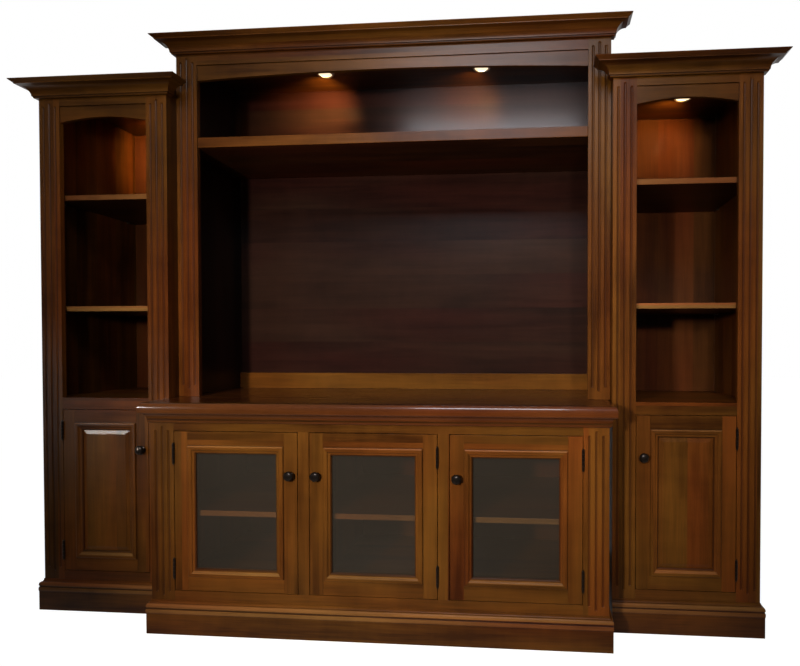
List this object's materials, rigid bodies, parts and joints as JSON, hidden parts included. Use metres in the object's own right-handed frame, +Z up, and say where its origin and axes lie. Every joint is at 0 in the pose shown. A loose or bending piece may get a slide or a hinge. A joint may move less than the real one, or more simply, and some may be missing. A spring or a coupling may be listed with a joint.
{
  "type": "entertainment center",
  "caption": "Wood entertainment center: a glass-door console under an open hutch with a shelf, flanked by towers with open shelves over panelled doors.",
  "frame": {"origin": "on the floor, under the middle of the whole unit's bounding box", "axes": "+X to the right of someone who faces the front, +Y to the back, +Z up"},
  "size_m": [2.614, 0.676, 2.032],
  "materials": {
    "stained_maple": "warm walnut-brown stain under a satin lacquer",
    "dark_back": "dark stained thin panel",
    "door_glass": "clear, slightly dark",
    "dark_bronze": "dark bronze",
    "lamp_metal": "satin metal rim round a warm lens"
  },
  "bodies": {
    "cabinet": {"console_face_frame": "stained_maple", "console_left_side": "stained_maple", "console_right_side": "stained_maple", "console_back": "dark_back", "console_floor": "stained_maple", "console_left_divider": "stained_maple", "console_right_divider": "stained_maple", "console_left_shelf": "stained_maple", "console_middle_shelf": "stained_maple", "console_right_shelf": "stained_maple", "console_top": "stained_maple", "console_base": "stained_maple", "hutch_face_frame": "stained_maple", "hutch_valance": "stained_maple", "hutch_left_side": "stained_maple", "hutch_right_side": "stained_maple", "hutch_back": "dark_back", "hutch_shelf": "stained_maple", "hutch_cornice": "stained_maple", "hutch_left_puck_light": "lamp_metal", "hutch_right_puck_light": "lamp_metal", "left_tower_face_frame": "stained_maple", "left_tower_valance": "stained_maple", "left_tower_outer_side": "stained_maple", "left_tower_inner_side": "stained_maple", "left_tower_back": "dark_back", "left_tower_upper_shelf": "stained_maple", "left_tower_lower_shelf": "stained_maple", "left_tower_floor": "stained_maple", "left_tower_deck": "stained_maple", "left_tower_cornice": "stained_maple", "left_tower_base": "stained_maple", "left_tower_puck_light": "lamp_metal", "right_tower_face_frame": "stained_maple", "right_tower_valance": "stained_maple", "right_tower_outer_side": "stained_maple", "right_tower_inner_side": "stained_maple", "right_tower_back": "dark_back", "right_tower_upper_shelf": "stained_maple", "right_tower_lower_shelf": "stained_maple", "right_tower_floor": "stained_maple", "right_tower_deck": "stained_maple", "right_tower_cornice": "stained_maple", "right_tower_base": "stained_maple", "right_tower_puck_light": "lamp_metal"},
    "console_left_door": {"console_left_door_frame": "stained_maple", "console_left_door_glass": "door_glass", "console_left_door_knob": "dark_bronze"},
    "console_middle_door": {"console_middle_door_frame": "stained_maple", "console_middle_door_glass": "door_glass", "console_middle_door_knob": "dark_bronze"},
    "console_right_door": {"console_right_door_frame": "stained_maple", "console_right_door_glass": "door_glass", "console_right_door_knob": "dark_bronze"},
    "left_tower_door": {"left_tower_door_frame": "stained_maple", "left_tower_door_panel": "stained_maple", "left_tower_door_knob": "dark_bronze"},
    "right_tower_door": {"right_tower_door_frame": "stained_maple", "right_tower_door_panel": "stained_maple", "right_tower_door_knob": "dark_bronze"}
  },
  "joints": [
    {"name": "console_left_door_hinge", "type": "hinge", "parent": "cabinet", "child": "console_left_door", "pos_m": [-0.664, -0.3068, 0.4045], "axis": [0, 0, -1], "range_deg": [0, 105]},
    {"name": "console_middle_door_hinge", "type": "hinge", "parent": "cabinet", "child": "console_middle_door", "pos_m": [0.2085, -0.3068, 0.4045], "axis": [0, 0, 1], "range_deg": [0, 105]},
    {"name": "console_right_door_hinge", "type": "hinge", "parent": "cabinet", "child": "console_right_door", "pos_m": [0.664, -0.3068, 0.4045], "axis": [0, 0, 1], "range_deg": [0, 105]},
    {"name": "left_tower_door_hinge", "type": "hinge", "parent": "cabinet", "child": "left_tower_door", "pos_m": [-1.166, -0.1668, 0.43], "axis": [0, 0, -1], "range_deg": [0, 105]},
    {"name": "right_tower_door_hinge", "type": "hinge", "parent": "cabinet", "child": "right_tower_door", "pos_m": [1.166, -0.1668, 0.43], "axis": [0, 0, 1], "range_deg": [0, 105]}
  ]
}
